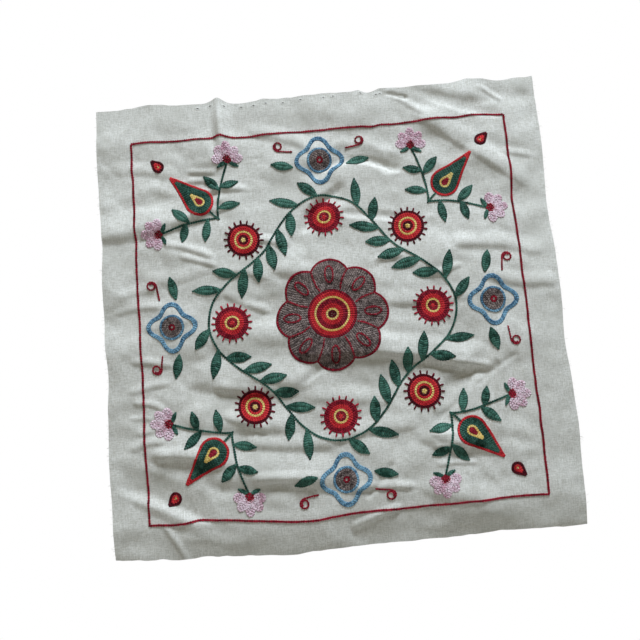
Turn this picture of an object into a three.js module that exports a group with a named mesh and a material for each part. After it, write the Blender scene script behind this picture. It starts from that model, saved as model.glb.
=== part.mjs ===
// Suzani wall hanging: one unlined panel of hand-loomed cotton, the full width of its loom,
// hung by its top edge. The woven selvedges run along the top and bottom edges, and the two
// sides are cut edges.
// Millimetres, +Z up. The embroidered face looks along -Y, and the back looks along +Y.
// The origin is the middle of the top edge, where the cloth is held.
import * as THREE from "three";

// Driving dimensions of the panel
const WIDTH = 480;
const HEIGHT = 480;
const THICKNESS = 1.5;

// Steps of the mesh across and down the cloth
const COLUMNS = 40;
const ROWS = 70;

// Where the lower margin starts to curl back towards the wall, and how far its edge goes
const CURL_START = -446;
const CURL_DEPTH = 7;

// The top edge stays near the wall: the folds below it grow to their full rise over this height
const HELD_STRIP = 26;
const HELD_SHARE = 0.45;

// A fold fades out past its ends over this many half widths
const FADE_REACH = 1.6;

// A fold leans down: its upper side is wider by this share and its lower side is narrower.
// Some of the folds have a lean of their own.
const LEAN = 0.22;

// The waves of the top edge die out down the cloth with this power
const TOP_FADE = 10;

// Colour of the undyed cotton
const IVORY = 0xd9d6c8;

// The folds that the cloth hangs in. from and to are [x, z] on the panel, bow is how far the
// middle of the fold lies to the left of the straight line between them, rise is its height
// towards the viewer (negative for a trough) and halfWidth is the reach of each of its sides.
const FOLDS = [
  { name: "long middle ridge", from: [-20, -283], to: [138, -304], bow: 4, rise: 5.4, halfWidth: 19 },
  { name: "slope above the middle ridge", from: [-62, -262], to: [110, -278], bow: 2, rise: 1.8, halfWidth: 20 },
  { name: "upper left ridge", from: [-127, -304], to: [-55, -309], bow: 0, rise: 4.5, halfWidth: 22 },
  { name: "lower left ridge", from: [-140, -346], to: [-69, -354], bow: 2, rise: 3.5, halfWidth: 19 },
  { name: "low middle ridge", from: [-113, -403], to: [-32, -410], bow: 2, rise: 4.5, halfWidth: 22 },
  { name: "left side ridge", from: [-182, -375], to: [-132, -384], bow: 0, rise: 3, halfWidth: 18 },
  { name: "lower left slant", from: [-209, -420], to: [-156, -449], bow: 0, rise: 1.4, halfWidth: 11, lean: 0 },
  { name: "lower left trough", from: [-212, -412], to: [-158, -436], bow: 1, rise: -3, halfWidth: 18, lean: 0.4 },
  { name: "right slant", from: [112, -33], to: [206, -106], bow: 2, rise: 1.4, halfWidth: 18, lean: -0.15 },
  { name: "edge of the slant", from: [121, -42], to: [204, -109], bow: 0, rise: 1.4, halfWidth: 16, lean: 0.55 },
  { name: "corner slant", from: [118, 4], to: [171, -13], bow: 0, rise: 2.8, halfWidth: 15 },
  { name: "slack arc", from: [-3, -89], to: [70, -87], bow: 15, rise: -2.6, halfWidth: 15 },
  { name: "slack hook", from: [11, -118], to: [-30, -162], bow: -6, rise: -2.6, halfWidth: 14 },
  { name: "upper left band", from: [-226, -136], to: [-144, -124], bow: -3, rise: 4, halfWidth: 21 },
  { name: "crease from the top edge", from: [-107, 4], to: [-105, -40], bow: 0, rise: 3.6, halfWidth: 15 },
  { name: "right upright crease", from: [170, -286], to: [157, -368], bow: 0, rise: 3, halfWidth: 15 },
  { name: "right curved trough", from: [141, -312], to: [106, -358], bow: -9, rise: -2.8, halfWidth: 15 },
  { name: "low right ridge", from: [99, -382], to: [141, -391], bow: 0, rise: 2.8, halfWidth: 17 },
  { name: "ridge over the lower line", from: [93, -433], to: [133, -442], bow: 0, rise: 2.4, halfWidth: 16 },
];

// Broad swells of the whole cloth, in the same columns
const SWELLS = [
  { name: "slack across the middle", from: [-240, -220], to: [240, -250], bow: 0, rise: 3, halfWidth: 120 },
  { name: "slack at the lower right", from: [60, -400], to: [240, -350], bow: 0, rise: 2, halfWidth: 80 },
];

// Waves of the two woven edges: at is the place across the cloth, rise lifts the edge there
const TOP_WAVES = [
  { at: -180, rise: 3.2, halfWidth: 38 },
  { at: -107, rise: 5, halfWidth: 14 },
  { at: -82, rise: -4, halfWidth: 28 },
  { at: -38, rise: -1.6, halfWidth: 26 },
  { at: 60, rise: -3, halfWidth: 12 },
  { at: 172, rise: 3.6, halfWidth: 26 },
  { at: 205, rise: -2, halfWidth: 18 },
];
const BOTTOM_WAVES = [
  { at: -235, rise: 2, halfWidth: 30 },
  { at: -172, rise: -2.4, halfWidth: 26 },
  { at: -60, rise: -5, halfWidth: 120 },
  { at: -60, rise: -1.4, halfWidth: 26 },
  { at: 50, rise: -1, halfWidth: 30 },
  { at: 90, rise: -1.6, halfWidth: 110 },
  { at: 160, rise: 1.4, halfWidth: 60 },
];

// Waves of the two cut sides: at is the height, rise pushes the edge outwards
const SIDE_WAVES = [
  { at: -70, rise: 1.2, halfWidth: 60 },
  { at: -150, rise: -1.6, halfWidth: 45 },
  { at: -292, rise: -2.2, halfWidth: 40 },
  { at: -380, rise: 1.4, halfWidth: 50 },
];

// A smooth bump: 1 in its middle and 0 from 1 outwards
function bell(s) {
  const inside = Math.max(0, 1 - s * s);
  return inside * inside;
}

// The sum of a table of waves at one place along an edge
function wave(table, at) {
  return table.reduce((sum, w) => sum + w.rise * bell((at - w.at) / w.halfWidth), 0);
}

// How far one fold lifts the cloth at a point of the panel
function foldRise(fold, x, z) {
  const [startX, startZ] = fold.from;
  const runX = fold.to[0] - startX;
  const runZ = fold.to[1] - startZ;
  const length = Math.hypot(runX, runZ);
  const along = ((x - startX) * runX + (z - startZ) * runZ) / length;
  const t = THREE.MathUtils.clamp(along / length, 0, 1);
  const middle = fold.bow * 4 * t * (1 - t);
  const off = ((z - startZ) * runX - (x - startX) * runZ) / length - middle;
  const lean = fold.lean ?? LEAN;
  const across = off / (off > 0 ? 1 + lean : 1 - lean);
  const past = Math.max(-along, along - length, 0) / FADE_REACH;
  return fold.rise * bell(Math.hypot(across, past) / fold.halfWidth);
}

// The depth of the front face at a point of the panel: folds come towards -Y
function frontDepth(x, z) {
  const folds = [...FOLDS, ...SWELLS].reduce((sum, fold) => sum + foldRise(fold, x, z), 0);
  const held = THREE.MathUtils.smoothstep(-z, 0, HELD_STRIP);
  const curl = Math.max(0, CURL_START - z) / (HEIGHT + CURL_START);
  return -folds * THREE.MathUtils.lerp(HELD_SHARE, 1, held) + CURL_DEPTH * Math.pow(curl, 1.5);
}

// The point of the front face at u across (0 at the left) and v down (0 at the top)
function frontPoint(u, v) {
  const flatX = WIDTH * (u - 0.5);
  const flatZ = -HEIGHT * v;
  const x = flatX + Math.sign(u - 0.5) * Math.abs(2 * u - 1) ** 6 * wave(SIDE_WAVES, flatZ);
  const z = flatZ + wave(TOP_WAVES, x) * (1 - v) ** TOP_FADE + wave(BOTTOM_WAVES, x) * v;
  return new THREE.Vector3(x, frontDepth(x, z), z);
}

// The panel as one closed sheet: a front grid, a back grid and the rim that joins them
function clothSheet() {
  const positions = [];
  for (const depth of [0, THICKNESS]) {
    for (let row = 0; row <= ROWS; row++) {
      for (let column = 0; column <= COLUMNS; column++) {
        const p = frontPoint(column / COLUMNS, row / ROWS);
        positions.push(p.x, p.y + depth, p.z);
      }
    }
  }
  const perFace = (COLUMNS + 1) * (ROWS + 1);
  const front = (column, row) => row * (COLUMNS + 1) + column;
  const back = (column, row) => perFace + front(column, row);
  const faces = [];
  const quad = (a, b, c, d) => faces.push(a, b, c, a, c, d);
  for (let r = 0; r < ROWS; r++) {
    for (let c = 0; c < COLUMNS; c++) {
      quad(front(c, r), front(c, r + 1), front(c + 1, r + 1), front(c + 1, r));
      quad(back(c, r), back(c + 1, r), back(c + 1, r + 1), back(c, r + 1));
    }
  }
  for (let c = 0; c < COLUMNS; c++) {
    quad(front(c, 0), front(c + 1, 0), back(c + 1, 0), back(c, 0));
    quad(front(c + 1, ROWS), front(c, ROWS), back(c, ROWS), back(c + 1, ROWS));
  }
  for (let r = 0; r < ROWS; r++) {
    quad(front(COLUMNS, r), front(COLUMNS, r + 1), back(COLUMNS, r + 1), back(COLUMNS, r));
    quad(front(0, r + 1), front(0, r), back(0, r), back(0, r + 1));
  }
  const geometry = new THREE.BufferGeometry();
  geometry.setAttribute("position", new THREE.Float32BufferAttribute(positions, 3));
  geometry.setIndex(faces);
  geometry.computeVertexNormals();
  return geometry;
}

function makeCloth() {
  const cotton = new THREE.MeshStandardMaterial({ color: IVORY, roughness: 0.92, metalness: 0 });
  const cloth = new THREE.Mesh(clothSheet(), cotton);
  cloth.name = "cloth";
  return cloth;
}

const hanging = new THREE.Group();
hanging.add(makeCloth());
export default hanging;
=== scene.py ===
"""Suzani wall hanging: one panel of hand-loomed ivory cotton with chain-stitch embroidery.

The panel hangs by its top edge. Its sizes and its folds are held in millimetres on the cloth: x runs
across it from the middle, z is the height, 0 at the top edge and negative below it, and y is the
depth, with the embroidered face looking along -Y. Meshes are made in metres in the frame of the
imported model.
"""
import logging
import math
from dataclasses import dataclass, field
from enum import Enum
from typing import Any, Sequence

import bpy
import numpy as np
from mathutils import Matrix, Vector


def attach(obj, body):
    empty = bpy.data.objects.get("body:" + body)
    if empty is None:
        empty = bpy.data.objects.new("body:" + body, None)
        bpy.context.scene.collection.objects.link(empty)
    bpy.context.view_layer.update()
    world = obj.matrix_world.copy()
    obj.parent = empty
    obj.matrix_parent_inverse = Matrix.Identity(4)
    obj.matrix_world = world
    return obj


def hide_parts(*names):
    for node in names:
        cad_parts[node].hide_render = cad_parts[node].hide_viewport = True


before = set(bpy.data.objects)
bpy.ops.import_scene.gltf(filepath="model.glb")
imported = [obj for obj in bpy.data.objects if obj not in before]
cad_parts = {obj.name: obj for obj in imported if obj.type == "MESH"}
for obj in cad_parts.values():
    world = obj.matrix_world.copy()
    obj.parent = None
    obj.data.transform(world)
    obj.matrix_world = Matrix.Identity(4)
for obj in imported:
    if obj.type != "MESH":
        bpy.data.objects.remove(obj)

LOG = logging.getLogger("suzani")
MM = 0.001
TAU = 2.0 * math.pi
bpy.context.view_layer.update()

# A fold fades out past its ends over this many half widths
FADE_REACH = 1.6

Pair = tuple[float, float]
Triple = tuple[float, float, float]
Colour = Triple


def bell(s: np.ndarray) -> np.ndarray:
    """Return a smooth bump that is 1 at s = 0 and 0 from s = 1 outwards."""
    inside = np.clip(1.0 - s * s, 0.0, None)
    return inside * inside


def smooth(low: float, high: float, s: np.ndarray) -> np.ndarray:
    """Return a soft step from 0 at low to 1 at high."""
    t = np.clip((s - low) / (high - low), 0.0, 1.0)
    return t * t * (3.0 - 2.0 * t)


def turned(points: np.ndarray, angle: float) -> np.ndarray:
    """Return flat points turned about the origin by an angle in radians."""
    c, s = math.cos(angle), math.sin(angle)
    return np.asarray(points) @ np.array([[c, s], [-s, c]])


def around(steps: int) -> np.ndarray:
    """Return angles in even steps of one full turn."""
    return np.linspace(0.0, TAU, steps, endpoint=False)


def polar(radius: Any, angle: np.ndarray) -> np.ndarray:
    """Return flat points round the origin, at a radius or at one for each angle."""
    return np.stack([radius * np.cos(angle), radius * np.sin(angle)], axis=1)


class SoftNoise:
    """Smooth random field on the flat cloth, the same on every run."""

    def __init__(self, seed: int, cell: Pair) -> None:
        """Keep the random table and the size of its cells in millimetres.

        Args:
            seed: Seed of the table.
            cell: Width and height of one cell.
        """
        self.table = np.random.default_rng(seed).uniform(-1.0, 1.0, (256, 256))
        self.cell = cell

    def __call__(self, x: np.ndarray, z: np.ndarray) -> np.ndarray:
        """Return the field, from -1 to 1.

        Args:
            x: Places across the cloth.
            z: Heights on the cloth.

        Returns:
            One value for each place.
        """
        gx, gz = x / self.cell[0] + 128.0, z / self.cell[1] + 128.0
        ix, iz = np.floor(gx).astype(int), np.floor(gz).astype(int)
        fx, fz = smooth(0.0, 1.0, gx - ix), smooth(0.0, 1.0, gz - iz)
        corner = [[self.table[(iz + b) % 256, (ix + a) % 256] for a in (0, 1)] for b in (0, 1)]
        low = corner[0][0] * (1.0 - fx) + corner[0][1] * fx
        high = corner[1][0] * (1.0 - fx) + corner[1][1] * fx
        return low * (1.0 - fz) + high * fz


@dataclass(frozen=True)
class Fold:
    """A soft ridge of the cloth, or a trough where its rise is negative."""

    start: Pair
    end: Pair
    bow: float
    rise: float
    half_width: float
    lean: float = 0.22

    def lift(self, x: np.ndarray, z: np.ndarray) -> np.ndarray:
        """Return how far the fold lifts the cloth towards the viewer.

        Args:
            x: Places across the cloth.
            z: Heights on the cloth.

        Returns:
            The rise at each place.
        """
        run_x, run_z = self.end[0] - self.start[0], self.end[1] - self.start[1]
        length = math.hypot(run_x, run_z)
        off_x, off_z = x - self.start[0], z - self.start[1]
        along = (off_x * run_x + off_z * run_z) / length
        t = np.clip(along / length, 0.0, 1.0)
        across = (off_z * run_x - off_x * run_z) / length - self.bow * 4.0 * t * (1.0 - t)
        past = np.maximum(np.maximum(-along, along - length), 0.0) / FADE_REACH
        across = across / np.where(across > 0.0, 1.0 + self.lean, 1.0 - self.lean)
        return self.rise * bell(np.hypot(across, past) / self.half_width)


@dataclass(frozen=True)
class Crumple:
    """One scale of the cloth's uneven surface, on axes of its own."""

    seed: int
    cell: float
    turn: float
    rise: float
    stretch: float = 1.3

    def lift(self, x: np.ndarray, z: np.ndarray) -> np.ndarray:
        """Return how far it lifts the cloth at each place."""
        c, s = math.cos(self.turn), math.sin(self.turn)
        field_of_rise = SoftNoise(self.seed, (self.stretch * self.cell, self.cell))
        return self.rise * field_of_rise(c * x + s * z, c * z - s * x)


@dataclass(frozen=True)
class Wave:
    """A rise or dip of a cloth edge."""

    at: float
    rise: float
    half_width: float


def wave(table: Sequence[Wave], at: np.ndarray) -> np.ndarray:
    """Return the sum of a table of waves along an edge."""
    return sum(w.rise * bell((at - w.at) / w.half_width) for w in table)


# The folds that the cloth hangs in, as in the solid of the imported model
FOLDS = (
    Fold((-20, -283), (138, -304), 4, 5.4, 19),
    Fold((-62, -262), (110, -278), 2, 1.8, 20),
    Fold((-127, -304), (-55, -309), 0, 4.5, 22),
    Fold((-140, -346), (-69, -354), 2, 3.5, 19),
    Fold((-113, -403), (-32, -410), 2, 4.5, 22),
    Fold((-182, -375), (-132, -384), 0, 3, 18),
    Fold((-209, -420), (-156, -449), 0, 1.4, 11, 0.0),
    Fold((-212, -412), (-158, -436), 1, -3.0, 18, 0.4),
    Fold((112, -33), (206, -106), 2, 1.4, 18, -0.15),
    Fold((121, -42), (204, -109), 0, 1.4, 16, 0.55),
    Fold((118, 4), (171, -13), 0, 2.8, 15),
    Fold((-3, -89), (70, -87), 15, -2.6, 15),
    Fold((11, -118), (-30, -162), -6, -2.6, 14),
    Fold((-226, -136), (-144, -124), -3, 4, 21),
    Fold((-107, 4), (-105, -40), 0, 3.6, 15),
    Fold((170, -286), (157, -368), 0, 3, 15),
    Fold((141, -312), (106, -358), -9, -2.8, 15),
    Fold((99, -382), (141, -391), 0, 2.8, 17),
    Fold((93, -433), (133, -442), 0, 2.4, 16),
    Fold((-240, -220), (240, -250), 0, 3, 120),
    Fold((60, -400), (240, -350), 0, 2, 80),
)

# Finer creases on top of the folds
CREASES = (
    Fold((-151, -131), (-112, -112), 0, 1.6, 8),
    Fold((-116, -98), (-90, -100), 0, 1.3, 6),
    Fold((-139, -77), (-118, -79), 0, 0.9, 4.5),
    Fold((-140, -87), (-117, -89), 1, 1.0, 5),
    Fold((-138, -99), (-116, -101), -1, 1.0, 5),
    Fold((-135, -123), (-111, -122), 1, 1.2, 5.5),
    Fold((-168, -157), (-128, -171), 2, 1.1, 6),
    Fold((-151, -172), (-124, -181), 0, 0.9, 5),
    Fold((-66, -159), (-46, -165), 0, 1.5, 7),
    Fold((-218, -207), (-190, -203), 1, 0.8, 8),
    Fold((-222, -225), (-184, -222), 2, 0.7, 6),
    Fold((-193, -243), (-150, -238), -2, 0.8, 9),
    Fold((-109, -190), (-71, -199), 2, 1.0, 7),
    Fold((-104, -219), (-74, -233), 0, 1.0, 7),
    Fold((-207, -279), (-178, -284), 1, 1.0, 6),
    Fold((-211, -309), (-182, -304), 1, 1.0, 6),
    Fold((-208, -322), (-186, -328), 2, 1.1, 5),
    Fold((-214, -337), (-199, -338), 0, 0.7, 4.5),
    Fold((-206, -352), (-192, -349), -1, 0.8, 6),
    Fold((-213, -367), (-189, -363), 2, 1.1, 7),
    Fold((-119, -313), (-72, -319), -2, 1.6, 8),
    Fold((-113, -344), (-83, -357), 0, 1.6, 8),
    Fold((-183, -377), (-134, -387), 3, 1.8, 9),
    Fold((-84, -409), (-32, -412), 1, 2.0, 8),
    Fold((-186, -451), (-168, -483), 1, 0.9, 5),
    Fold((74, 2), (112, -28), 0, 1.0, 6),
    Fold((-188, -4), (-203, -30), 0, -1.0, 9),
    Fold((127, -12), (190, -38), -4, -1.0, 9),
    Fold((83, -7), (98, -12), 0, -2.6, 4),
    Fold((184, -9), (200, -22), 0, 1.0, 4),
    Fold((205, -84), (222, -88), 0, 0.9, 6),
    Fold((6, -84), (79, -92), 9, -1.3, 7),
    Fold((-17, -148), (15, -112), 4, -1.3, 8),
    Fold((28, -138), (74, -145), 0, -1.2, 7),
    Fold((55, -190), (75, -188), 0, 1.2, 5),
    Fold((115, -210), (134, -205), 0, 1.2, 5),
    Fold((0, -293), (118, -312), 5, -1.3, 7),
    Fold((-30, -311), (0, -294), 2, -1.2, 7),
    Fold((112, -304), (152, -311), 0, 1.2, 6),
    Fold((106, -358), (138, -322), -5, -0.9, 4.5),
    Fold((146, -330), (184, -304), 2, -0.6, 4),
    Fold((160, -360), (165, -312), 2, -1.1, 5),
    Fold((95, -378), (113, -378), 0, 1.0, 4.5),
    Fold((96, -391), (123, -392), 1, 1.1, 5),
    Fold((98, -408), (130, -409), 1, 1.0, 4.5),
    Fold((105, -382), (140, -387), -2, 1.6, 8),
    Fold((24, -431), (46, -407), -2, -1.3, 5),
    Fold((9, -425), (61, -427), 1, 1.4, 6),
    Fold((8, -462), (46, -449), 1, 1.7, 6),
    Fold((-104, -36), (-106, 3), 0, 0.8, 4, 0.5),
    Fold((-112, -42), (-112, 0), 0, -0.7, 6),
    Fold((-186, -194), (-140, -188), -3, 0.8, 11),
    Fold((-128, -214), (-80, -218), 3, 0.8, 11),
    Fold((-44, -196), (22, -214), 4, 1.3, 12),
    Fold((54, -232), (132, -236), -4, 1.2, 12),
    Fold((-88, -372), (-20, -378), -2, 1.5, 11),
    Fold((-20, -330), (40, -338), 2, 1.1, 12),
    Fold((0, -372), (62, -366), 3, 1.3, 12),
    Fold((148, -180), (214, -192), 3, 1.5, 12),
    Fold((176, -220), (226, -228), -2, 1.3, 11),
    Fold((-60, -40), (-12, -58), 2, 1.1, 11),
    Fold((-212, -70), (-168, -76), 2, 0.6, 10),
    Fold((76, -468), (118, -464), -2, 0.6, 10),
    Fold((-158, -462), (-120, -470), 2, 0.6, 10),
)

# The uneven surface, from its coarsest scale to its finest
CRUMPLES = (
    Crumple(12, 40.0, -0.25, 2.0),
    Crumple(13, 20.0, 0.35, 1.4),
    Crumple(14, 11.0, -0.6, 0.42),
    Crumple(15, 6.5, 0.9, 0.14),
)

# The waves of the edges: on the sides, at is the height and rise pushes the edge outwards
TOP_WAVES = (
    Wave(-180, 3.2, 38),
    Wave(-107, 3.6, 15),
    Wave(-106, 1.5, 7),
    Wave(-82, -4.0, 28),
    Wave(-38, -1.6, 26),
    Wave(60, -3.0, 12),
    Wave(172, 3.6, 26),
    Wave(205, -2.0, 18),
)
BOTTOM_WAVES = (
    Wave(-235, 2.0, 30),
    Wave(-172, -2.4, 26),
    Wave(-60, -5.0, 120),
    Wave(-60, -1.4, 26),
    Wave(50, -1.0, 30),
    Wave(90, -1.6, 110),
    Wave(160, 1.4, 60),
)
SIDE_WAVES = (
    Wave(-70, 1.2, 60),
    Wave(-150, -1.6, 45),
    Wave(-292, -2.2, 40),
    Wave(-380, 1.4, 50),
)

# Where the bottom border line runs off the straight
HEM_LINE_WAVES = (
    Wave(-142, 3.6, 80),
    Wave(-32, -2.4, 40),
)


@dataclass
class Drape:
    """The hung shape of the cloth, as a map from the flat panel to its place in the folds."""

    width: float = 480.0
    height: float = 480.0
    thickness: float = 1.2
    cells: int = 288
    back_every: int = 4
    held_strip: float = 26.0
    held_share: float = 0.45
    curl_start: float = -446.0
    curl_depth: float = 7.0
    curl_power: float = 1.5
    top_fade: int = 10
    side_fade: int = 6
    selvedge_ripple: float = 0.6
    ripple_cell: Pair = (8.0, 60.0)
    ripple_fade: int = 40
    sharpness: float = 1.2
    patch_cell: Pair = (70.0, 60.0)
    patch_level: float = 0.8
    patch_swing: float = 0.4
    flat: np.ndarray = field(init=False)
    points: np.ndarray = field(init=False)
    normals: np.ndarray = field(init=False)

    def __post_init__(self) -> None:
        """Work out the front face on an even grid of the flat panel."""
        across = np.linspace(-0.5, 0.5, self.cells + 1) * self.width
        down = -np.linspace(0.0, 1.0, self.cells + 1) * self.height
        flat_x, flat_z = np.meshgrid(across, down)
        self.flat = np.stack([flat_x, flat_z], axis=-1)
        self.points = self.front(flat_x, flat_z)
        self.normals = self.face_normals(self.points)

    def depth(self, x: np.ndarray, z: np.ndarray) -> np.ndarray:
        """Return the depth of the front face; folds come towards -Y.

        Args:
            x: Places across the cloth.
            z: Heights on the cloth.

        Returns:
            The y of the front face.
        """
        main = sum(fold.lift(x, z) for fold in FOLDS)
        fine = sum(crease.lift(x, z) for crease in CREASES)
        patches = self.patch_level + self.patch_swing * SoftNoise(11, self.patch_cell)(x, z)
        soft = sum(crumple.lift(x, z) for crumple in CRUMPLES)
        held = smooth(0.0, self.held_strip, -z)
        curl = np.clip(self.curl_start - z, 0.0, None) / (self.height + self.curl_start)
        share = self.held_share + (1.0 - self.held_share) * held
        folds = -(main + self.sharpness * fine + patches * soft) * share
        return folds + self.curl_depth * curl**self.curl_power

    def front(self, flat_x: np.ndarray, flat_z: np.ndarray) -> np.ndarray:
        """Return the place of the front face for points of the flat panel.

        Args:
            flat_x: Places across the flat panel.
            flat_z: Heights on the flat panel.

        Returns:
            Points in millimetres, with x, y and z last.
        """
        u = 2.0 * flat_x / self.width
        v = -flat_z / self.height
        x = flat_x + np.sign(u) * np.abs(u) ** self.side_fade * wave(SIDE_WAVES, flat_z)
        top = wave(TOP_WAVES, x) * (1.0 - v) ** self.top_fade
        bottom = wave(BOTTOM_WAVES, x) * v
        ripple = self.selvedge_ripple * SoftNoise(16, self.ripple_cell)(x, flat_z)
        z = flat_z + top + bottom + ripple * np.abs(2.0 * v - 1.0) ** self.ripple_fade
        return np.stack([x, self.depth(x, z), z], axis=-1)

    @staticmethod
    def face_normals(points: np.ndarray) -> np.ndarray:
        """Return the normals of a grid of points, looking out of the front face."""
        across = np.gradient(points, axis=1)
        down = np.gradient(points, axis=0)
        normal = np.cross(down, across)
        return normal / np.linalg.norm(normal, axis=-1, keepdims=True)

    def settle(self, settling: "Settling", spots: np.ndarray, area: float) -> None:
        """Let the cloth pucker round its embroidery.

        Args:
            settling: How the cloth settles.
            spots: Where the stitches are on the flat panel.
            area: Area of cloth that one stitch covers.
        """
        every = self.cells // settling.cells
        moved = settling.run(self.points[::every, ::every], self._worked(settling.cells, spots, area))
        spread = spread_matrix(settling.cells, every)
        self.points = self.points + np.einsum("ia,jb,abk->ijk", spread, spread, moved, optimize=True)
        self.normals = self.face_normals(self.points)

    def _worked(self, cells: int, spots: np.ndarray, area: float) -> np.ndarray:
        """Return how fully each node of a coarse grid is covered with stitches, from 0 to 1.

        Args:
            cells: Cells across and down the grid.
            spots: Where the stitches are on the flat panel.
            area: Area of one stitch.

        Returns:
            The cover at each node.
        """
        gx = np.rint((spots[:, 0] / self.width + 0.5) * cells).astype(int)
        gz = np.rint(-spots[:, 1] / self.height * cells).astype(int)
        cover = np.zeros((cells + 1, cells + 1))
        np.add.at(cover, (np.clip(gz, 0, cells), np.clip(gx, 0, cells)), 1.0)
        cover *= area * cells * cells / (self.width * self.height)
        return blurred(np.clip(blurred(cover), 0.0, 1.0))

    def sample(self, flat: np.ndarray, every: int = 1) -> tuple[np.ndarray, np.ndarray]:
        """Return the places and normals of the front face under points of the flat panel.

        Args:
            flat: Points of the flat panel, as rows of x and z.
            every: Step between the grid lines that are read: 1, or more for the coarser back face.

        Returns:
            The places on the hung cloth, and the normals there.
        """
        cells = self.cells // every
        gx = np.clip((flat[:, 0] / self.width + 0.5) * cells, 0, cells - 1e-6)
        gz = np.clip(-flat[:, 1] / self.height * cells, 0, cells - 1e-6)
        ix, iz = gx.astype(int), gz.astype(int)
        fx, fz = (gx - ix)[:, None], (gz - iz)[:, None]
        found = []
        for grid in (self.points[::every, ::every], self.normals[::every, ::every]):
            low = grid[iz, ix] * (1 - fx) + grid[iz, ix + 1] * fx
            high = grid[iz + 1, ix] * (1 - fx) + grid[iz + 1, ix + 1] * fx
            found.append(low * (1 - fz) + high * fz)
        return found[0], found[1]


def blurred(grid: np.ndarray) -> np.ndarray:
    """Return a grid averaged with its neighbours, its edges kept."""
    padded = np.pad(grid, 1, mode="edge")
    across = 0.25 * padded[:, :-2] + 0.5 * padded[:, 1:-1] + 0.25 * padded[:, 2:]
    return 0.25 * across[:-2] + 0.5 * across[1:-1] + 0.25 * across[2:]


def spread_matrix(cells: int, every: int) -> np.ndarray:
    """Return the weights that carry values from a coarse line of nodes to a finer one.

    Args:
        cells: Cells of the coarse line.
        every: Fine cells in a coarse one.

    Returns:
        A matrix with a row for each fine node, whose cubic weights sum to 1.
    """
    at = np.arange(cells * every + 1) / every
    first = np.minimum(np.floor(at).astype(int), cells - 1)
    t = at - first
    weights = [((-t + 2) * t - 1) * t / 2, ((3 * t - 5) * t * t + 2) / 2,
               ((-3 * t + 4) * t + 1) * t / 2, (t - 1) * t * t / 2]
    spread = np.zeros((len(at), cells + 1))
    for shift, weight in enumerate(weights):
        np.add.at(spread, (np.arange(len(at)), np.clip(first + shift - 1, 0, cells)), weight)
    return spread


@dataclass(frozen=True)
class Settling:
    """A small cloth solver: stitched places draw in, and the slack ground between them puckers."""

    cells: int = 144
    rounds: int = 300
    draw_in: float = 0.015
    slack_across: float = 0.014
    slack_down: float = 0.016
    stiffness: float = 0.08
    worked_stiffness: float = 0.5
    margin_slack: float = 0.3
    margin: Pair = (190.0, 212.0)
    deepest: float = 2.4
    unevenness: float = 0.12
    seed: int = 21

    def run(self, start: np.ndarray, worked: np.ndarray) -> np.ndarray:
        """Relax the cloth.

        Args:
            start: Grid of points in their main folds.
            worked: How fully each node is stitched, from 0 to 1.

        Returns:
            How far each node has moved.
        """
        points = start.copy()
        count = self.cells + 1
        random = np.random.default_rng(self.seed)
        points[..., 1] += random.normal(0.0, self.unevenness, (count, count))
        bonds = self._bonds(start, worked)
        bending = self.stiffness + self.worked_stiffness * worked
        held = np.zeros((count, count))
        held[0], held[-1], held[:, 0], held[:, -1] = 1.0, 1.0, 1.0, 1.0
        for _ in range(self.rounds):
            for a, b, rest in bonds:
                gap = points[b] - points[a]
                length = np.linalg.norm(gap, axis=-1)
                shift = gap * (0.5 * (length - rest) / length)[..., None]
                points[a] += shift
                points[b] -= shift
            depth = points[..., 1] - start[..., 1]
            depth += bending * (blurred(depth) - depth)
            depth = self.deepest * np.tanh(depth / self.deepest)
            points[..., 1] = start[..., 1] + depth * (1.0 - held)
            for axis in (0, 2):
                points[..., axis] += held * (start[..., axis] - points[..., axis])
        return points - start

    def _bonds(self, start: np.ndarray, worked: np.ndarray) -> list[tuple]:
        """Return the bonds between nodes, in sets that share no node.

        Args:
            start: Grid of points.
            worked: How fully each node is stitched.

        Returns:
            For each set, the slices of its two ends and the lengths at rest.
        """
        end = self.cells + 1
        made = []
        middle = 0.5 * (start[0, 0, 2] + start[-1, 0, 2])
        reach = np.maximum(np.abs(start[..., 0]), np.abs(start[..., 2] - middle))
        loose = 1.0 - (1.0 - self.margin_slack) * smooth(*self.margin, reach)
        for down, across in ((0, 1), (1, 0), (1, 1), (1, -1)):
            for odd in (0, 1):
                rows = slice(odd, end - 1, 2) if down else slice(0, end)
                below = slice(odd + 1, end, 2) if down else rows
                if not down:
                    left, right = slice(odd, end - 1, 2), slice(odd + 1, end, 2)
                elif across == 0:
                    left = right = slice(0, end)
                elif across > 0:
                    left, right = slice(0, end - 1), slice(1, end)
                else:
                    left, right = slice(1, end), slice(0, end - 1)
                a, b = (rows, left), (below, right)
                length = np.linalg.norm(start[b] - start[a], axis=-1)
                cover = 0.5 * (worked[a] + worked[b])
                slack = (down * self.slack_down + abs(across) * self.slack_across) / (down + abs(across))
                slack = slack * loose[a] * (1.0 - cover)
                made.append((a, b, length * (1.0 + slack - self.draw_in * cover)))
        return made


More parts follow.
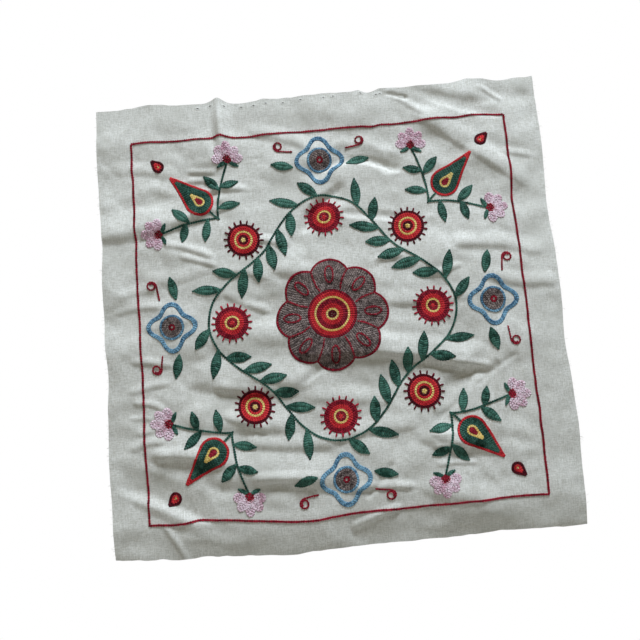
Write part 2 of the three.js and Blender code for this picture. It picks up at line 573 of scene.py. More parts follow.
class Value:
    """A socket in a material's node tree; arithmetic on it adds Math nodes."""

    def __init__(self, tree: "NodeTree", socket: bpy.types.NodeSocket) -> None:
        """Keep the tree and the output socket."""
        self.tree = tree
        self.socket = socket

    def math(self, operation: str, *terms: Any) -> "Value":
        """Return the result of a Math node on these terms."""
        inputs = dict(enumerate(terms))
        return self.tree.node("ShaderNodeMath", {"operation": operation}, inputs)

    def __add__(self, other: Any) -> "Value":
        """Return self + other."""
        return self.math("ADD", self, other)

    __radd__ = __add__

    def __sub__(self, other: Any) -> "Value":
        """Return self - other."""
        return self.math("SUBTRACT", self, other)

    def __rsub__(self, other: Any) -> "Value":
        """Return other - self."""
        return self.math("SUBTRACT", other, self)

    def __mul__(self, other: Any) -> "Value":
        """Return self * other."""
        return self.math("MULTIPLY", self, other)

    __rmul__ = __mul__

    def __truediv__(self, other: Any) -> "Value":
        """Return self / other."""
        return self.math("DIVIDE", self, other)

    def step(self, low: float, high: float) -> "Value":
        """Return a soft step from 0 at low to 1 at high."""
        settings = {"interpolation_type": "SMOOTHSTEP"}
        inputs = {"Value": self, "From Min": low, "From Max": high}
        return self.tree.node("ShaderNodeMapRange", settings, inputs)

    def sine(self) -> "Value":
        """Return the sine of the value."""
        return self.math("SINE", self)

    def root(self) -> "Value":
        """Return the square root of the value."""
        return self.math("SQRT", self)


class NodeTree:
    """The nodes of one material or of the world."""

    def __init__(self, owner: bpy.types.ID) -> None:
        """Clear the owner's node tree and keep it."""
        owner.use_nodes = True
        self.tree = owner.node_tree
        self.tree.nodes.clear()

    def node(self, kind: str, settings: dict | None = None, inputs: dict | None = None,
             out: Any = 0) -> Value:
        """Add a node.

        Args:
            kind: The node's type name.
            settings: Its properties.
            inputs: Values or links of its sockets, by name or number.
            out: Name or number of the output that is returned.

        Returns:
            The chosen output.
        """
        made = self.tree.nodes.new(kind)
        for name, setting in (settings or {}).items():
            setattr(made, name, setting)
        for name, given in (inputs or {}).items():
            socket = made.inputs[name]
            if isinstance(given, Value):
                self.tree.links.new(given.socket, socket)
            else:
                socket.default_value = given
        return Value(self, made.outputs[out] if made.outputs else None)

    def mix(self, factor: Any, first: Any, second: Any) -> Value:
        """Return a Mix of two colours.

        Args:
            factor: Share of the second colour.
            first: First colour.
            second: Second colour.

        Returns:
            The mixed colour.
        """
        first, second = (c if isinstance(c, Value) else (*c, 1.0) for c in (first, second))
        inputs = {0: factor, 6: first, 7: second}
        return self.node("ShaderNodeMix", {"data_type": "RGBA"}, inputs, 2)

    def number(self, name: str) -> Value:
        """Return a value that the mesh holds at its points."""
        return self.node("ShaderNodeAttribute", {"attribute_name": name}, {}, "Fac")

    def vector(self, x: Any, y: Any, z: Any = 0.0) -> Value:
        """Return a vector of three values."""
        return self.node("ShaderNodeCombineXYZ", {}, {0: x, 1: y, 2: z})

    def here(self, scale: float) -> Value:
        """Return the object's own coordinates times a scale."""
        inputs = {0: self.node("ShaderNodeTexCoord", out="Object"), 1: (scale, scale, scale)}
        return self.node("ShaderNodeVectorMath", {"operation": "MULTIPLY"}, inputs)

    def noise(self, at: Value, detail: float = 2.0, roughness: float = 0.5) -> Value:
        """Return Noise Texture values at a vector."""
        inputs = {"Vector": at, "Scale": 1.0, "Detail": detail, "Roughness": roughness}
        return self.node("ShaderNodeTexNoise", {"noise_dimensions": "3D"}, inputs)

    def bump(self, height: Value, distance: float, strength: float) -> Value:
        """Return a normal bent by a height."""
        inputs = {"Height": height, "Distance": distance, "Strength": strength}
        return self.node("ShaderNodeBump", {}, inputs)

    def surface(self, inputs: dict) -> None:
        """Finish the tree with a Principled shader."""
        shader = self.node("ShaderNodeBsdfPrincipled", {}, inputs)
        self.node("ShaderNodeOutputMaterial", {}, {"Surface": shader})


@dataclass(frozen=True)
class CottonFinish:
    """Undyed hand-loomed cotton in plain weave, with slubs, soft stains and tenter holes."""

    name: str = "cotton"
    light: Colour = (0.775, 0.77, 0.72)
    dull: Colour = (0.555, 0.55, 0.49)
    stain: Colour = (0.44, 0.41, 0.33)
    hole: Colour = (0.05, 0.045, 0.04)
    thread_pitch: float = 0.62
    cloud_share: float = 0.45
    fleck_share: float = 0.4
    hole_share: float = 0.7
    relief: float = 0.3
    hole_spacing: float = 18.0
    hole_drop: float = 5.0
    hole_scatter: float = 4.5
    hole_width: float = 1.35
    hole_height: float = 0.85
    hole_reach: Pair = (-140.0, 90.0)

    def material(self) -> bpy.types.Material:
        """Return the material."""
        made = bpy.data.materials.new(self.name)
        tree = NodeTree(made)
        across, down = tree.number("across"), tree.number("down")
        weft = tree.noise(tree.vector(across * 0.12, down * 1.2), 3.0, 0.6)
        warp = tree.noise(tree.vector(across * 1.2, down * 0.1, 7.0), 3.0, 0.6)
        cloud = tree.noise(tree.here(16.0), 3.0, 0.55)
        grain = tree.noise(tree.here(800.0), 1.0, 0.5)
        fleck = tree.noise(tree.here(470.0), 2.0, 0.5)
        slubs = 0.42 * weft + 0.36 * warp + 0.22 * grain
        hole, tuft = self._holes(tree, across, down)
        ground = tree.mix(slubs.step(0.4, 0.6), self.dull, self.light)
        ground = tree.mix(self.cloud_share * cloud.step(0.5, 0.7), ground, self.dull)
        ground = tree.mix(self.fleck_share * fleck.step(0.58, 0.72), ground, self.stain)
        ground = tree.mix(self.hole_share * hole, ground, self.hole)
        turns = math.pi / self.thread_pitch
        weave = 0.5 + 0.5 * (across * turns).sine() * (down * turns).sine()
        height = 0.4 * weave + 0.7 * slubs + 0.9 * tuft - 1.5 * hole
        tree.surface({
            "Base Color": ground,
            "Roughness": 0.93,
            "Specular IOR Level": 0.2,
            "Sheen Weight": 0.1,
            "Sheen Roughness": 0.6,
            "Normal": tree.bump(height, self.relief * MM, 0.9),
        })
        return made

    def _holes(self, tree: NodeTree, across: Value, down: Value) -> tuple[Value, Value]:
        """Return masks of the small holes that the loom's stretcher left along the top edge.

        Args:
            tree: The material's nodes.
            across: Place across the flat cloth.
            down: Height on the flat cloth.

        Returns:
            The holes, and the cloth drawn up round them.
        """
        settings = {"voronoi_dimensions": "1D", "feature": "F1"}
        inputs = {"W": across / self.hole_spacing, "Scale": 1.0, "Randomness": 0.95}
        off = tree.node("ShaderNodeTexVoronoi", settings, inputs, "Distance") * self.hole_spacing
        middle = tree.node("ShaderNodeTexVoronoi", settings, inputs, "W")
        scatter = tree.noise(tree.vector(middle * 3.7, 0.0), 0.0) - 0.5
        drop = down + self.hole_drop + scatter * (2.0 * self.hole_scatter)
        size = 0.3 + 1.5 * tree.noise(tree.vector(middle * 5.3, 4.0), 0.0)
        wide, high = off / self.hole_width, drop / self.hole_height
        far = (wide * wide + high * high).root() / size
        first, last = self.hole_reach
        there = across.step(first, first + 10.0) * (1.0 - across.step(last - 10.0, last))
        return there * (1.0 - far.step(0.5, 1.0)), there * (1.0 - far.step(0.9, 2.6))


@dataclass(frozen=True)
class ThreadFinish:
    """One colour of embroidery thread, a little shaded from stitch to stitch, with painted shade in its ply
    grooves and low on its strands.
    """

    name: str
    slot: str
    dark: Colour
    light: Colour
    # Share of the dark colour kept in the painted shade low on the strands
    depth: float = 0.45
    cloud: float = 0.6
    shade: float = 0.6
    speck: float = 0.4
    roughness: float = 0.5
    # Share of painted shade in the grooves between the plies of the twist
    groove_shade: float = 0.2
    # Share of painted shade low on the strands, where they dip to the cloth and meet their neighbours
    dip_shade: float = 0.75
    relief: float = 0.08

    def deep(self) -> Colour:
        """Return the painted shade colour of the thread where it dives into the cloth."""
        return tuple(self.depth * c for c in self.dark)

    def material(self) -> bpy.types.Material:
        """Return the material."""
        made = bpy.data.materials.new(self.name)
        tree = NodeTree(made)
        cloud = tree.noise(tree.here(45.0), 2.0, 0.5)
        fleck = tree.noise(tree.here(750.0), 1.0, 0.5)
        twist = 0.5 + 0.5 * (tree.number("ply") * TAU).sine()
        patchy = self.cloud * (cloud.step(0.38, 0.62) - 0.5)
        speckled = self.shade * tree.number("shade") + self.speck * fleck.step(0.4, 0.65)
        base = tree.mix(patchy + speckled + 0.05, self.dark, self.light)
        # Painted shade: the grooves between the plies are mixed towards the dark colour
        base = tree.mix(self.groove_shade * (1.0 - twist), base, self.dark)
        # Painted shade: strands are darkened by their low rise, where they dip to the cloth between strands
        # and stitches
        base = tree.mix(self.dip_shade * (1.0 - tree.number("rise").step(0.05, 0.6)), base, self.deep())
        tree.surface({
            "Base Color": base,
            "Roughness": self.roughness,
            "Specular IOR Level": 0.12,
            "Sheen Weight": 0.02,
            "Sheen Roughness": 0.4,
            "Normal": tree.bump(twist, self.relief * MM, 0.6),
        })
        return made


class Thread(Enum):
    """The embroidery threads."""

    CRIMSON = ThreadFinish("thread_crimson", "crimson_thread", (0.15, 0.004, 0.013), (0.48, 0.024, 0.05),
                           cloud=0.3, shade=0.8)
    RED = ThreadFinish("thread_red", "red_thread", (0.53, 0.021, 0.029), (0.87, 0.06, 0.07),
                       depth=0.7)
    MAROON = ThreadFinish("thread_maroon", "crimson_thread", (0.06, 0.002, 0.006), (0.16, 0.008, 0.02))
    YELLOW = ThreadFinish("thread_yellow", "yellow_thread", (0.76, 0.51, 0.13), (1.0, 0.83, 0.34),
                          depth=0.75)
    GREEN = ThreadFinish("thread_green", "green_thread", (0.009, 0.042, 0.028), (0.075, 0.20, 0.15),
                         shade=0.75)
    PINK = ThreadFinish("thread_pink", "pink_thread", (0.67, 0.39, 0.48), (1.0, 0.86, 0.92),
                        depth=0.75, shade=0.8)
    TAUPE = ThreadFinish("thread_taupe", "taupe_thread", (0.05, 0.034, 0.031), (0.45, 0.36, 0.33),
                         cloud=0.2, shade=0.7)
    BLUE = ThreadFinish("thread_blue", "blue_thread", (0.045, 0.13, 0.235), (0.32, 0.59, 0.77),
                        cloud=0.4, shade=0.8)


def make_object(name: str, points: np.ndarray, faces: Sequence[np.ndarray], material: bpy.types.Material,
                numbers: dict[str, np.ndarray] | None = None) -> bpy.types.Object:
    """Make a mesh object from arrays.

    Args:
        name: Name of the piece.
        points: Points in millimetres, as rows.
        faces: Arrays of faces, each with one number of corners.
        material: The finish.
        numbers: Values at the points, by name, for the material.

    Returns:
        The new object, in the scene.
    """
    mesh = bpy.data.meshes.new(name)
    corners = np.concatenate([f.ravel() for f in faces])
    sizes = np.concatenate([np.full(len(f), f.shape[1]) for f in faces])
    mesh.vertices.add(len(points))
    mesh.vertices.foreach_set("co", (points * MM).astype(np.float32).ravel())
    mesh.loops.add(len(corners))
    mesh.loops.foreach_set("vertex_index", corners.astype(np.int32))
    mesh.polygons.add(len(sizes))
    mesh.polygons.foreach_set("loop_start", np.concatenate([[0], np.cumsum(sizes)[:-1]]).astype(np.int32))
    mesh.update(calc_edges=True)
    mesh.validate()
    for key, values in (numbers or {}).items():
        layer = mesh.attributes.new(key, "FLOAT", "POINT")
        layer.data.foreach_set("value", values.astype(np.float32))
    mesh.shade_smooth()
    mesh.materials.append(material)
    made = bpy.data.objects.new(name, mesh)
    bpy.context.scene.collection.objects.link(made)
    LOG.info("%s: %d points, %d triangles", name, len(points), int((sizes - 2).sum()))
    return made


@dataclass
class Panel:
    """The cotton panel: a fine front face, a plainer back face and the rim between them."""

    drape: Drape
    material: bpy.types.Material
    sharp_angle: float = 50.0

    def build(self) -> bpy.types.Object:
        """Return the panel as one closed mesh."""
        count = self.drape.cells + 1
        coarse = np.arange(0, count, self.drape.back_every)
        some = np.ix_(coarse, coarse)
        front = self.drape.points.reshape(-1, 3)
        back = self.drape.points[some].reshape(-1, 3) + (0.0, self.drape.thickness, 0.0)
        flat = np.concatenate([self.drape.flat.reshape(-1, 2), self.drape.flat[some].reshape(-1, 2)])
        number = np.arange(count * count).reshape(count, count)
        behind = len(front) + np.arange(len(coarse) ** 2).reshape(len(coarse), -1)
        faces = [self._quads(number), self._quads(behind)[:, ::-1], self._rim(number, behind)]
        numbers = {"across": flat[:, 0], "down": flat[:, 1]}
        made = make_object("cotton_panel", np.concatenate([front, back]), faces, self.material, numbers)
        made.data.set_sharp_from_angle(angle=math.radians(self.sharp_angle))
        return made

    @staticmethod
    def _quads(number: np.ndarray) -> np.ndarray:
        """Return the faces of a grid of point numbers, looking out of the front."""
        corners = [number[:-1, :-1], number[1:, :-1], number[1:, 1:], number[:-1, 1:]]
        return np.stack(corners, axis=-1).reshape(-1, 4)

    def _rim(self, number: np.ndarray, behind: np.ndarray) -> np.ndarray:
        """Return the faces that join the edges of the two grids.

        Args:
            number: Point numbers of the front grid.
            behind: Point numbers of the back grid.

        Returns:
            Faces with one back edge and the front edges before it.
        """
        around = [
            (number[0], behind[0]),
            (number[:, -1], behind[:, -1]),
            (number[-1, ::-1], behind[-1, ::-1]),
            (number[::-1, 0], behind[::-1, 0]),
        ]
        every = self.drape.back_every
        faces = []
        for fine, coarse in around:
            for k in range(len(coarse) - 1):
                run = fine[k * every:(k + 1) * every + 1]
                faces.append(np.concatenate([run, [coarse[k + 1], coarse[k]]]))
        return np.array(faces)


class Stitch(Enum):
    """How a row is worked."""

    LINE = "a single line of chain"
    FILL = "chain that lies against its neighbours"
    SATIN = "one straight stitch from end to end"


@dataclass(frozen=True)
class Row:
    """One row of stitches on the flat cloth."""

    thread: "Thread"
    path: np.ndarray
    closed: bool = False
    stitch: Stitch = Stitch.FILL
    width: float = 2.6
    lift: float = 0.0

    def stations(self, pitch: float) -> np.ndarray:
        """Return the places where the stitches of the row start and end.

        Args:
            pitch: Length of one link of chain.

        Returns:
            Points along the row, one more than its stitches.
        """
        if self.stitch is Stitch.SATIN:
            return np.asarray(self.path, dtype=float)
        path = np.vstack([self.path, self.path[:1]]) if self.closed else self.path
        length = np.concatenate([[0.0], np.cumsum(np.linalg.norm(np.diff(path, axis=0), axis=1))])
        at = np.linspace(0.0, length[-1], max(2, round(length[-1] / pitch)) + 1)
        return np.stack([np.interp(at, length, path[:, k]) for k in (0, 1)], axis=1)


@dataclass(frozen=True)
class Shape:
    """The mesh of one stitch: its points are shares of its length, its width and its relief."""

    points: np.ndarray
    faces: np.ndarray
    ply: np.ndarray

    def joined(self, other: "Shape") -> "Shape":
        """Return both shapes as one."""
        points = np.concatenate([self.points, other.points])
        faces = np.concatenate([self.faces, other.faces + len(self.points)])
        return Shape(points, faces, np.concatenate([self.ply, other.ply]))

    def mirrored(self) -> "Shape":
        """Return the shape turned over its middle line."""
        return Shape(self.points * (1.0, -1.0, 1.0), self.faces[:, ::-1], self.ply)


# Turns of the thread's ply along one stitch
PLY_TURNS = 1.6

# Middle lines of the strands, ahead, aside and up, as shares of a stitch's length, width and relief
LINK_SPINE = ((-0.14, 0.02, 0.06), (0.16, 0.10, 0.44), (0.55, 0.22, 0.62), (0.92, 0.30, 0.48),
              (1.14, 0.30, 0.05))
RIB_SPINE = ((0.0, 0.0, 0.05), (0.14, 0.0, 0.42), (0.5, 0.0, 0.55), (0.86, 0.0, 0.42), (1.0, 0.0, 0.05))
DASH_SPINE = ((-0.04, 0.0, 0.1), (0.5, 0.0, 0.24), (1.04, 0.0, 0.1))


def spindle(spine: Sequence[Triple], radius: Sequence[float], sides: int, upright: float) -> Shape:
    """Return a strand with pointed ends.

    Args:
        spine: Its middle line, the two ends included.
        radius: Its half-width at each point between the ends.
        sides: Sides of its section.
        upright: Height of its section for each unit of width.

    Returns:
        The strand.
    """
    turn = np.arange(sides) / sides
    points, ply = [np.array([spine[0]])], [np.zeros(1)]
    for (along, across, up), r in zip(spine[1:-1], radius):
        ring = [np.full(sides, along), across + r * np.cos(TAU * turn), up + upright * r * np.sin(TAU * turn)]
        points.append(np.stack(ring, axis=1))
        ply.append(PLY_TURNS * along + turn)
    points.append(np.array([spine[-1]]))
    last = 1 + sides * len(radius)
    faces = []
    for i in range(sides):
        j = (i + 1) % sides
        faces.append((0, 1 + j, 1 + i))
        for near in range(1, last - sides, sides):
            far = near + sides
            faces += [(near + i, near + j, far + j), (near + i, far + j, far + i)]
        faces.append((last, last - sides + i, last - sides + j))
    return Shape(np.concatenate(points), np.array(faces), np.concatenate(ply + [np.zeros(1)]))


def slat(half: float, reach: Pair, up: float, upright: float) -> Shape:
    """Return a flat strand with four sides and square ends.

    Args:
        half: Its half-width.
        reach: Where it starts and ends.
        up: Height of its middle line.
        upright: Height of its section for each unit of width.

    Returns:
        The strand.
    """
    turn = np.arange(4) / 4
    ring = np.stack([half * np.cos(TAU * turn), up + upright * half * np.sin(TAU * turn)], axis=1)
    points = np.array([(along, *spot) for along in reach for spot in ring])
    faces = [(0, 2, 1), (0, 3, 2), (4, 5, 6), (4, 6, 7)]
    for i in range(4):
        j = (i + 1) % 4
        faces += [(i, j, 4 + j), (i, 4 + j, 4 + i)]
    return Shape(points, np.array(faces), PLY_TURNS * points[:, 0] + np.tile(turn, 2))


def chain_link(bed: float) -> Shape:
    """Return one link of chain: two strands that open in a V over a flat bed of thread.

    Args:
        bed: Half-width of the bed.

    Returns:
        The link.
    """
    arm = spindle(LINK_SPINE, (0.13, 0.19, 0.16), 5, 1.9)
    return arm.joined(arm.mirrored()).joined(slat(bed, (-0.03, 1.03), 0.06, 0.36))


@dataclass
class Stitcher:
    """Works rows of stitches: strands on the face, running dashes on the back."""

    drape: Drape
    pitch: float = 2.5
    relief: float = 1.05
    wobble: float = 0.55
    wobble_cell: Pair = (17.0, 17.0)
    jitter: float = 0.12
    spread: float = 0.09
    # Rise given to the back dashes, which sets how much painted shade they get
    back_rise: float = 0.8
    seed: int = 5

    def __post_init__(self) -> None:
        """Prepare the shapes of the stitches."""
        self.random = np.random.default_rng(self.seed)
        self.sway = (SoftNoise(31, self.wobble_cell), SoftNoise(32, self.wobble_cell))
        self.shapes = {
            Stitch.LINE: chain_link(0.3),
            Stitch.FILL: chain_link(0.52),
            Stitch.SATIN: spindle(RIB_SPINE, (0.42, 0.5, 0.42), 6, 0.9),
        }
        self.dash = spindle(DASH_SPINE, (0.22,), 3, 1.2)
        self.materials = {thread: thread.value.material() for thread in Thread}

    def _stitches(self, rows: Sequence[Row]) -> tuple[np.ndarray, np.ndarray, np.ndarray]:
        """Return every stitch of some rows.

        Args:
            rows: Rows of stitches.

        Returns:
            Where the stitches start and end on the flat cloth, and their widths and lifts.
        """
        starts, ends, sizes = [], [], []
        for row in rows:
            spots = row.stations(self.pitch)
            sway = np.stack([noise(spots[:, 0], spots[:, 1]) for noise in self.sway], axis=1)
            spots = spots + self.wobble * sway + self.random.uniform(-self.jitter, self.jitter, spots.shape)
            if row.closed:
                spots[-1] = spots[0]
            starts.append(spots[:-1])
            ends.append(spots[1:])
            sizes.append(np.tile((row.width, row.lift), (len(spots) - 1, 1)))
        return np.concatenate(starts), np.concatenate(ends), np.concatenate(sizes)

    def _lay(self, shape: Shape, stitches: tuple, back: bool) -> tuple[np.ndarray, np.ndarray, np.ndarray]:
        """Return a shape repeated for each stitch, laid on the hung cloth.

        Args:
            shape: The shape.
            stitches: Starts, ends, widths and lifts of the stitches.
            back: True for the back of the cloth.

        Returns:
            Points in millimetres, faces, and the shade, ply and rise at each point.
        """
        starts, ends, sizes = stitches
        count, each = len(starts), len(shape.points)
        run = ends - starts
        length = np.linalg.norm(run, axis=1, keepdims=True)
        ahead = run / length
        aside = np.stack([-ahead[:, 1], ahead[:, 0]], axis=1)
        size = 1.0 + self.random.uniform(-self.spread, self.spread, (count, 1))
        along = shape.points[:, 0] * length
        across = shape.points[:, 1] * sizes[:, :1] * size
        up = shape.points[:, 2] * self.relief * size + (0.0 if back else sizes[:, 1:])
        flat = starts[:, None] + along[..., None] * ahead[:, None] + across[..., None] * aside[:, None]
        place, normal = self.drape.sample(flat.reshape(-1, 2), self.drape.back_every if back else 1)
        faces, rise = shape.faces, np.tile(shape.points[:, 2], count)
        if back:
            place, normal = place + (0.0, self.drape.thickness, 0.0), -normal
            faces, rise = faces[:, ::-1], np.full(count * each, self.back_rise)
        shade = np.repeat(self.random.uniform(0.0, 1.0, count), each)
        numbers = np.stack([shade, np.tile(shape.ply, count), rise], axis=1)
        laid = (faces[None] + np.arange(count)[:, None, None] * each).reshape(-1, 3)
        return place + normal * up.reshape(-1, 1), laid, numbers

    def work(self, name: str, rows: Sequence[Row]) -> list[bpy.types.Object]:
        """Work rows of stitches.

        Args:
            name: Name of the sub-assembly.
            rows: Its rows.

        Returns:
            One object for each thread colour, each with its face and back stitches.
        """
        made = []
        for thread in Thread:
            points, faces, numbers, used = [], [], [], 0
            for stitch, shape in self.shapes.items():
                mine = [row for row in rows if row.thread is thread and row.stitch is stitch]
                if not mine:
                    continue
                stitches = self._stitches(mine)
                for laid in (self._lay(shape, stitches, False), self._lay(self.dash, stitches, True)):
                    points.append(laid[0])
                    faces.append(laid[1] + used)
                    numbers.append(laid[2])
                    used += len(laid[0])
            if not points:
                continue
            held = dict(zip(("shade", "ply", "rise"), np.concatenate(numbers).T))
            title = f"{name}_{thread.name.lower()}"
            piece = make_object(title, np.concatenate(points), faces, self.materials[thread], held)
            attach(piece, "root")
            made.append(piece)
        return made


# Spacing of filling rows, and widths of a single line and of a stem
ROW = 2.4
LINE = 2.3
STEM = 2.9

# Points of a ring, and the radius below which none is worked
RING_STEPS = 44
LEAST_RING = 0.6


@dataclass(frozen=True)
class Spot:
    """A place on the flat cloth with a direction, in radians, at which a motif is drawn."""

    x: float
    z: float
    turn: float = 0.0

    def put(self, local: Any) -> np.ndarray:
        """Return local points, ahead and aside of the spot, as points of the flat cloth."""
        return turned(np.asarray(local, dtype=float), self.turn) + (self.x, self.z)

    def further(self, ahead: float, aside: float = 0.0, turn: float = 0.0) -> "Spot":
        """Return a spot ahead and aside of this one, turned by some radians more."""
        x, z = self.put([(ahead, aside)])[0]
        return Spot(float(x), float(z), self.turn + turn)

    def facing(self, turn: float) -> "Spot":
        """Return the same place with this direction."""
        return Spot(self.x, self.z, turn)


# The middle of the border, half its width, and how far the side rosettes are from the middle
MIDDLE = Spot(0.0, -243.8)
BORDER_HALF = 203.0
SIDE_REACH = 169.0


def line(thread: Thread, path: np.ndarray, closed: bool = False, width: float = LINE,
         lift: float = 0.0) -> Row:
    """Return a single line of chain along a path."""
    return Row(thread, path, closed, Stitch.LINE, width, lift)


def rings(spot: Spot, radius: float, bands: Sequence[Thread]) -> list[Row]:
    """Fill a disc with rings of stitches.

    Args:
        spot: The disc's centre.
        radius: Its radius.
        bands: A thread for each ring, from the outside in.

    Returns:
        The rows.
    """
    made = []
    for k, band in enumerate(bands):
        reach = radius - ROW * (k + 0.5)
        if reach > LEAST_RING:
            made.append(Row(band, spot.put(polar(reach, around(RING_STEPS))), True))
    return made


def nested(outline: Any, bands: Sequence[Thread]) -> list[Row]:
    """Fill a shape with closed rows that follow its outline.

    Args:
        outline: Function from an inset to the points of the outline there.
        bands: A thread for each row, from the outside in.

    Returns:
        The rows.
    """
    return [Row(band, outline(ROW * (k + 0.5)), True) for k, band in enumerate(bands)]


@dataclass(frozen=True)
class Leaf:
    """A leaf between two arcs: slanted satin ribs inside, and a row of chain along each edge."""

    spot: Spot
    length: float = 30.0
    width: float = 12.0
    pitch: float = 2.3
    slant: float = 1.8
    cross: float = 0.9
    rib: float = 2.5
    edge: float = 1.9
    end_gap: float = 1.0
    inset: float = 0.6
    edge_inset: float = 0.45

    def half(self, x: float) -> float:
        """Return the half-width of the leaf at a distance from its base."""
        middle, high = self.length / 2, self.width / 2
        radius = (middle * middle + high * high) / (2 * high)
        return math.sqrt(max(radius**2 - (x - middle) ** 2, 0.0)) - (radius - high)

    def rows(self) -> list[Row]:
        """Return the stitches of the leaf, from its base to its tip."""
        made = []
        for x in np.arange(self.end_gap, self.length - self.slant - self.end_gap, self.pitch):
            reach = max(self.half(x + self.slant) - self.inset, self.inset)
            for side in (1.0, -1.0):
                ends = self.spot.put([(x, -side * self.cross), (x + self.slant, side * reach)])
                made.append(Row(Thread.GREEN, ends, stitch=Stitch.SATIN, width=self.rib))
        along = np.linspace(0.0, self.length, 13)
        aside = np.array([max(self.half(x) - self.edge_inset * self.edge, 0.0) for x in along])
        for side in (1.0, -1.0):
            path = self.spot.put(np.stack([along, side * aside], 1))
            made.append(Row(Thread.GREEN, path, stitch=Stitch.LINE, width=self.edge))
        return made

    def tip(self) -> np.ndarray:
        """Return the middle and the tip of the leaf."""
        return self.spot.put([(0.5 * self.length, 0.0), (self.length, 0.0)])


@dataclass(frozen=True)
class Petal:
    """A round petal of nested loops of chain."""

    spot: Spot
    length: float = 15.0
    width: float = 10.5

    def outline(self, inset: float) -> np.ndarray:
        """Return the outline at an inset."""
        reach, half = self.length / 2 - inset, self.width / 2 - inset
        return self.spot.put(polar(1.0, around(28)) * (reach, half) + (self.length / 2, 0.0))

    def rows(self) -> list[Row]:
        """Return the rows of the petal."""
        return nested(self.outline, [Thread.PINK] * 2)


@dataclass(frozen=True)
class Almond:
    """A teardrop motif, round at its base and pointed at its tip, in nested bands."""

    spot: Spot
    bands: Sequence[Thread]
    radius: float = 15.0
    length: float = 60.0
    axis_width: float = 3.4
    axis_reach: Pair = (0.62, -0.4)

    def outline(self, inset: float) -> np.ndarray:
        """Return the outline at an inset: an arc and its two tangents to the tip."""
        share = max(self.radius - inset, 0.3) / self.radius
        peak = np.array([self.length - self.radius, 0.0])
        touch = math.acos(self.radius / peak[0])
        arc = polar(self.radius, np.linspace(touch, TAU - touch, 26))
        side = np.linspace(0.0, 1.0, 6)[1:, None]
        out = arc[-1] * (1 - side) + peak * side
        home = peak * (1 - side[:-1]) + arc[0] * side[:-1]
        return self.spot.put(np.concatenate([arc, out, home]) * share + (self.radius, 0.0))

    def rows(self) -> list[Row]:
        """Return the rows of the motif, with short ones on its axis between the bands' tips."""
        made = nested(self.outline, self.bands)
        reach = (self.length - self.radius) / self.radius
        for k, band in enumerate(self.bands[:-1], start=1):
            tips = [self.radius + reach * (self.radius - ROW * (k + off)) for off in self.axis_reach]
            made.append(Row(band, self.spot.put([(tip, 0.0) for tip in tips]), width=self.axis_width))
        heart = self.radius - ROW * len(self.bands)
        axis = self.spot.put([(self.radius - 1.0, 0.0), (self.radius + reach * heart, 0.0)])
        return made + [Row(self.bands[-1], axis, width=self.axis_width)]


@dataclass(frozen=True)
class Roundel:
    """A disc of concentric bands with a fringe of short bars round it."""

    spot: Spot
    bands: Sequence[Thread]
    radius: float = 17.5
    bars: int = 18
    bar: float = 4.4
    bar_width: float = 2.0
    overlap: float = 0.6

    def rows(self) -> list[Row]:
        """Return the rows of the roundel."""
        made = rings(self.spot, self.radius, self.bands)
        ends = [(self.radius - self.overlap, 0.0), (self.radius + self.bar, 0.0)]
        for angle in np.arange(self.bars) * TAU / self.bars:
            path = self.spot.put(turned(ends, angle))
            made.append(Row(self.bands[0], path, stitch=Stitch.SATIN, width=self.bar_width))
        return made


@dataclass(frozen=True)
class Carnation:
    """A fan of pink petals on a dark red heart with two small green sepals."""

    spot: Spot
    petals: int = 5
    spread: float = 2.9
    hub: float = 3.6
    petal: float = 16.5
    heart: float = 5.4
    sepal: Pair = (11.0, 5.0)

    def rows(self) -> list[Row]:
        """Return the rows of the flower."""
        made = []
        for k in range(self.petals):
            angle = self.spread * (k / (self.petals - 1) - 0.5)
            base = self.spot.further(self.hub * math.cos(angle), self.hub * math.sin(angle), angle)
            made += Petal(base, self.petal - 2.0 * abs(angle)).rows()
        made += rings(self.spot.further(1.0), self.heart, [Thread.CRIMSON] * 2 + [Thread.MAROON])
        for side in (1.0, -1.0):
            made += Leaf(self.spot.further(-3.0, side * 1.5, side * 2.0), *self.sepal).rows()
        return made


@dataclass(frozen=True)
class Tendril:
    """A curling line: a tail that winds into a small loop."""

    spot: Spot
    side: float = 1.0
    tail: float = 16.0
    loop: float = 5.2
    winds: float = 1.35
    shrink: float = 0.42

    def rows(self) -> list[Row]:
        """Return the row of the tendril."""
        straight = np.stack([np.linspace(0.0, self.tail, 6)[:-1], np.zeros(5)], 1)
        turn = np.linspace(0.0, self.winds * TAU, 26)
        radius = self.loop * (1.0 - self.shrink * turn / turn[-1])
        curl = np.stack([self.tail + radius * np.sin(turn), self.loop - radius * np.cos(turn)], 1)
        path = np.concatenate([straight, curl]) * (1.0, self.side)
        return [line(Thread.CRIMSON, self.spot.put(path))]


@dataclass
class BorderLine:
    """The single crimson line round the panel."""

    half: float = BORDER_HALF
    width: float = 3.0
    steps: int = 60

    def rows(self) -> list[Row]:
        """Return the four sides of the line."""
        corners = MIDDLE.put(self.half * np.array([(-1, -1), (1, -1), (1, 1), (-1, 1)]))
        share = np.linspace(0.0, 1.0, self.steps)[:, None]
        made = []
        for k, corner in enumerate(corners):
            side = corner * (1 - share) + corners[(k + 1) % 4] * share
            if k == 0:
                side[:, 1] += wave(HEM_LINE_WAVES, side[:, 0])
            made.append(line(Thread.CRIMSON, side, width=self.width))
        return made


# Threads of the banded discs, from the outside in
CORE_BANDS = ([Thread.CRIMSON] + [Thread.RED] * 2 + [Thread.YELLOW] + [Thread.CRIMSON] * 2
              + [Thread.RED] * 2 + [Thread.YELLOW] + [Thread.MAROON] * 2)
INNER_BANDS = [Thread.CRIMSON] * 2 + [Thread.RED] * 2 + [Thread.YELLOW, Thread.CRIMSON, Thread.RED]
OUTER_BANDS = [Thread.MAROON] + [Thread.RED] * 2 + [Thread.YELLOW, Thread.RED, Thread.MAROON, Thread.YELLOW]


